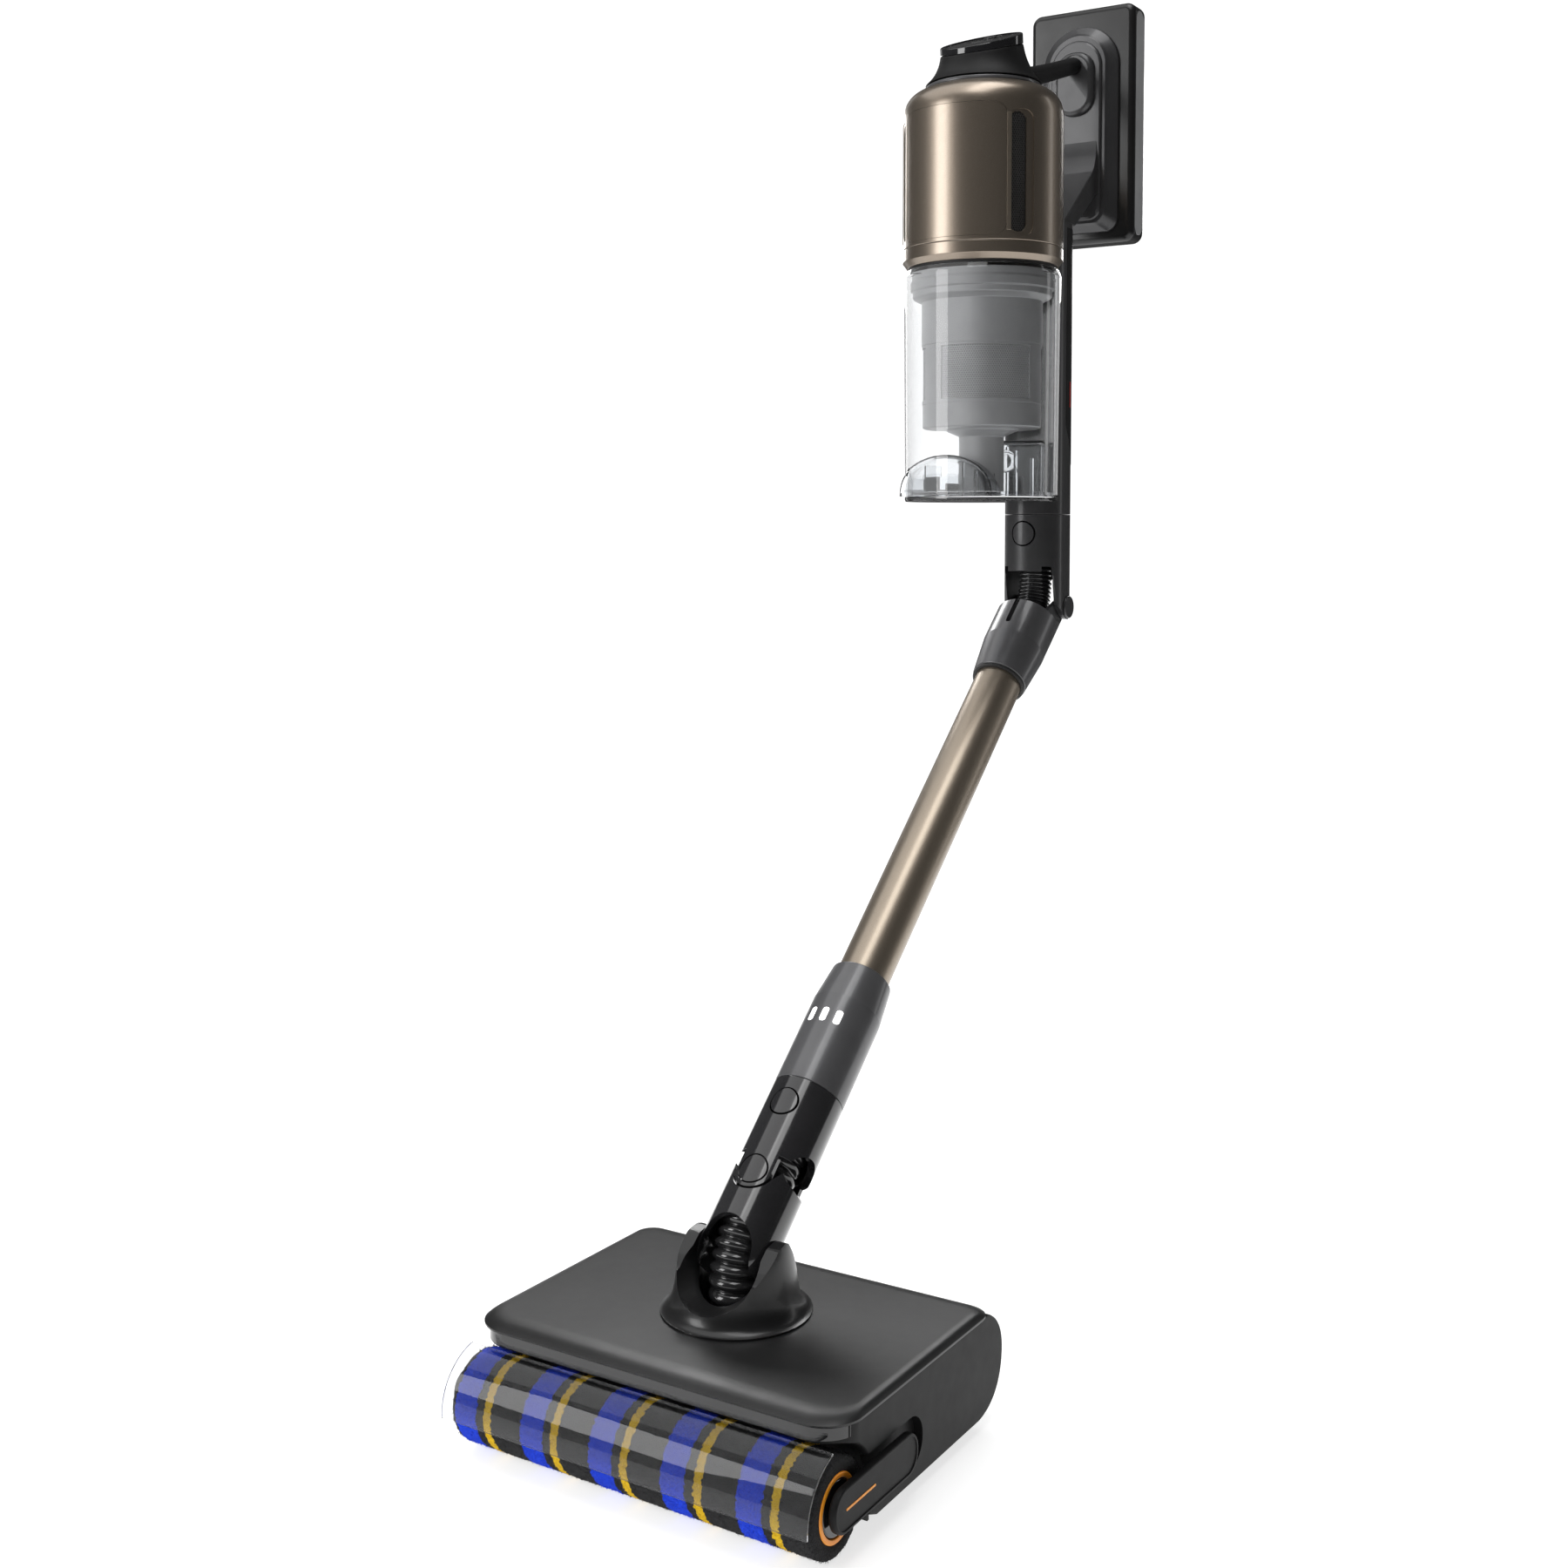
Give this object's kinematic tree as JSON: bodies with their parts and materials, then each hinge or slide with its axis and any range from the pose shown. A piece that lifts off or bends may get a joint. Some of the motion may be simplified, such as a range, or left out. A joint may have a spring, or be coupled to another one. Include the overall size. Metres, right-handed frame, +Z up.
{
  "type": "cordless stick vacuum",
  "caption": "Cordless stick vacuum with a soft-roller floor head, folding and extending wand, clear cyclone dust bin, motor barrel and a looped grip with a battery behind it.",
  "frame": {"origin": "on the floor, under the middle of the object's footprint", "axes": "+Z up, +Y from the floor head towards the handle, +X to the side that carries the roller latch, which is on the user's left when they look towards the head"},
  "size_m": [0.28, 0.6934, 1.0241],
  "materials": {
    "roller_pile": "plush microfibre pile in blue, black and yellow stripes",
    "orange_plastic": "smooth orange plastic",
    "matte_black": "fine matte black plastic",
    "satin_charcoal": "satin charcoal plastic with a soft sheen",
    "gloss_black": "polished black plastic",
    "gunmetal": "smooth metallic grey plastic",
    "bronze": "champagne bronze metallic lacquer on plastic",
    "bronze_tube": "champagne bronze anodised aluminium",
    "motor_alloy": "cast and spun motor housing",
    "smoky_clear": "clear polycarbonate with a light smoke tint",
    "smoke_lid": "dark translucent plastic",
    "cyclone_grey": "satin grey plastic",
    "mesh_steel": "fine perforated steel",
    "steel": "satin steel",
    "rubber": "soft black rubber",
    "led_white": "white diffusing plastic",
    "light_grey": "satin light grey plastic",
    "filter_media": "pleated filter media",
    "cell_wrap": "shrink-wrapped battery cells"
  },
  "bodies": {
    "floor_head": {"head_base": "matte_black", "head_cover": "satin_charcoal", "roller_shield": "smoky_clear", "suction_duct": "matte_black", "scraper_blade": "rubber", "neck_yoke": "gloss_black", "roller_motor": "motor_alloy", "neck_bellows": "rubber"},
    "roller": {"roller_pile": "roller_pile", "roller_core": "matte_black", "roller_end_ring": "orange_plastic", "roller_idle_hub": "matte_black", "drive_coupling": "matte_black"},
    "roller_latch": {"roller_latch": "matte_black"},
    "wheel_right": {"rear_wheel_right": "rubber"},
    "wheel_left": {"rear_wheel_left": "rubber"},
    "neck": {"neck_sleeve": "gloss_black", "steer_pivot_cap": "gloss_black"},
    "lower_wand": {"head_connector": "gloss_black", "wand_body": "gunmetal", "status_light": "led_white", "bronze_tube": "bronze_tube", "steer_bellows": "rubber"},
    "head_button": {"head_release_button": "gloss_black"},
    "upper_wand": {"inner_tube": "steel", "fold_collar": "gunmetal", "collar_seal": "rubber"},
    "extension_button": {"extension_button": "gloss_black"},
    "handheld": {"upper_connector": "gunmetal", "fold_pin_right": "gunmetal", "fold_pin_left": "gunmetal", "fold_bellows": "rubber", "spine_duct": "gunmetal", "spine_cover": "matte_black", "bin_inlet_duct": "matte_black", "dust_bin": "smoky_clear", "cyclone_shroud": "cyclone_grey", "cyclone_mesh": "mesh_steel", "cyclone_cone": "cyclone_grey", "pre_filter": "filter_media", "bin_ring": "bronze", "motor_barrel": "bronze", "barrel_front_panel": "bronze", "vent_grille_right": "matte_black", "vent_grille_left": "matte_black", "barrel_trim_ring": "steel", "suction_motor": "motor_alloy", "exhaust_filter": "filter_media", "top_neck": "matte_black", "display_bezel": "gloss_black", "handle_frame": "gunmetal"},
    "handheld_button": {"handheld_release_button": "gloss_black"},
    "bin_lid": {"bin_lid": "smoke_lid"},
    "bin_latch": {"bin_lid_latch": "gunmetal"},
    "impeller": {"impeller": "motor_alloy"},
    "power_button": {"power_button": "gloss_black"},
    "battery": {"battery_case": "gloss_black", "battery_back": "matte_black", "battery_inlay": "light_grey", "battery_cells": "cell_wrap"}
  },
  "joints": [
    {"name": "roller_spin", "type": "hinge", "parent": "floor_head", "child": "roller", "pos_m": [0, -0.31074, 0.03], "axis": [1, 0, 0], "continuous": true},
    {"name": "roller_latch_slide", "type": "slide", "parent": "floor_head", "child": "roller_latch", "axis": [0, 1, 0], "range_m": [0, 0.013]},
    {"name": "wheel_right_spin", "type": "hinge", "parent": "floor_head", "child": "wheel_right", "pos_m": [0.088, -0.13474, 0.014], "axis": [1, 0, 0], "continuous": true},
    {"name": "wheel_left_spin", "type": "hinge", "parent": "floor_head", "child": "wheel_left", "pos_m": [-0.088, -0.13474, 0.014], "axis": [1, 0, 0], "continuous": true},
    {"name": "neck_pitch", "type": "hinge", "parent": "floor_head", "child": "neck", "pos_m": [0, -0.21624, 0.116], "axis": [1, 0, 0], "range_deg": [-35, 48], "deforming": ["neck_bellows"]},
    {"name": "neck_steer", "type": "hinge", "parent": "neck", "child": "lower_wand", "pos_m": [0, -0.18122, 0.14735], "axis": [0, 0.6671, -0.745], "range_deg": [-25, 25], "deforming": ["steer_bellows"]},
    {"name": "head_button_press", "type": "slide", "parent": "lower_wand", "child": "head_button", "axis": [0, 0.6671, -0.745], "range_m": [0, 0.0025], "stiffness_N_per_m": 800},
    {"name": "wand_extend", "type": "slide", "parent": "lower_wand", "child": "upper_wand", "axis": [0, 0.745, 0.6671], "range_m": [0, 0.13]},
    {"name": "extension_button_press", "type": "slide", "parent": "upper_wand", "child": "extension_button", "axis": [0, -0.6671, 0.745], "range_m": [0, 0.002], "stiffness_N_per_m": 800},
    {"name": "wand_fold", "type": "hinge", "parent": "upper_wand", "child": "handheld", "pos_m": [0, 0.24124, 0.51353], "axis": [1, 0, 0], "range_deg": [-48.16, 18], "deforming": ["fold_bellows"]},
    {"name": "handheld_button_press", "type": "slide", "parent": "handheld", "child": "handheld_button", "axis": [0, 1, 0], "range_m": [0, 0.0025], "stiffness_N_per_m": 800},
    {"name": "bin_lid_hinge", "type": "hinge", "parent": "handheld", "child": "bin_lid", "pos_m": [0, 0.0705, 0.6], "axis": [-1, 0, 0], "range_deg": [0, 90]},
    {"name": "bin_latch_slide", "type": "slide", "parent": "handheld", "child": "bin_latch", "axis": [0, 0, 1], "range_m": [0, 0.003], "stiffness_N_per_m": 500},
    {"name": "impeller_spin", "type": "hinge", "parent": "handheld", "child": "impeller", "pos_m": [0, 0.12974, 0.8], "axis": [0, 0, 1], "continuous": true},
    {"name": "power_button_press", "type": "slide", "parent": "handheld", "child": "power_button", "axis": [0, 0.3584, -0.9336], "range_m": [0, 0.0015], "stiffness_N_per_m": 800},
    {"name": "battery_slide", "type": "slide", "parent": "handheld", "child": "battery", "axis": [0, 0, 1], "range_m": [0, 0.04]}
  ]
}
